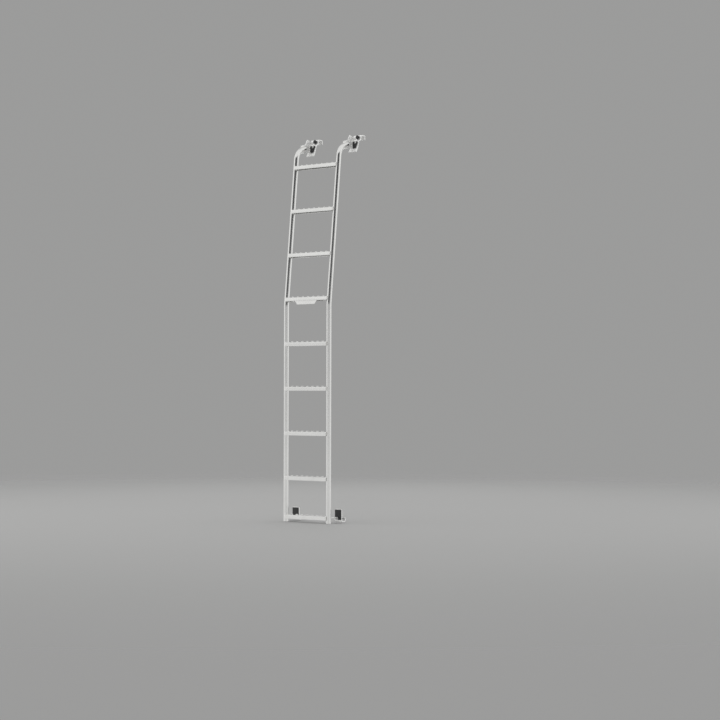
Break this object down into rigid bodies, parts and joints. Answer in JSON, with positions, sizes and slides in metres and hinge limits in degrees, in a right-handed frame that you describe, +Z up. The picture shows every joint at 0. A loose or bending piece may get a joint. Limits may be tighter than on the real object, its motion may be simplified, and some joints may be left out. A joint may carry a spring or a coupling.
{
  "type": "van rear door ladder",
  "caption": "Narrow climbing ladder of bent stainless tube with pressed non-slip rungs, hooked over the top edge of a van's rear door and under its lower edge.",
  "frame": {"origin": "middle of the left lower pad's face, where it lies on the door", "axes": "+Z up, +Y towards the door, +X to the climber's right"},
  "size_m": [0.3735, 0.2388, 2.007],
  "materials": {
    "stainless": "bright brushed stainless steel, polished on the tubes",
    "black_coat": "satin black coating with worn bright edges",
    "black_plastic": "moulded black plastic, fine grain",
    "rubber": "matt black rubber sheet"
  },
  "bodies": {
    "root": {"left_rail": "stainless", "right_rail": "stainless", "tag_plate": "stainless", "left_top_gusset": "stainless", "right_top_gusset": "stainless", "left_top_hook": "stainless", "right_top_hook": "stainless", "left_lower_hook": "stainless", "right_lower_hook": "stainless", "left_lower_arm": "stainless", "right_lower_arm": "stainless", "rung_1": "stainless", "rung_2": "stainless", "rung_3": "stainless", "rung_4": "stainless", "rung_5": "stainless", "rung_6": "stainless", "rung_7": "stainless", "rung_8": "stainless", "rung_9": "stainless", "left_lower_cover": "black_coat", "right_lower_cover": "black_coat", "left_top_jaw": "black_plastic", "right_top_jaw": "black_plastic", "left_top_knob": "black_plastic", "right_top_knob": "black_plastic", "left_end_plug": "black_plastic", "right_end_plug": "black_plastic", "left_top_pad": "rubber", "right_top_pad": "rubber", "left_lower_pad": "rubber", "right_lower_pad": "rubber"}
  },
  "joints": []
}
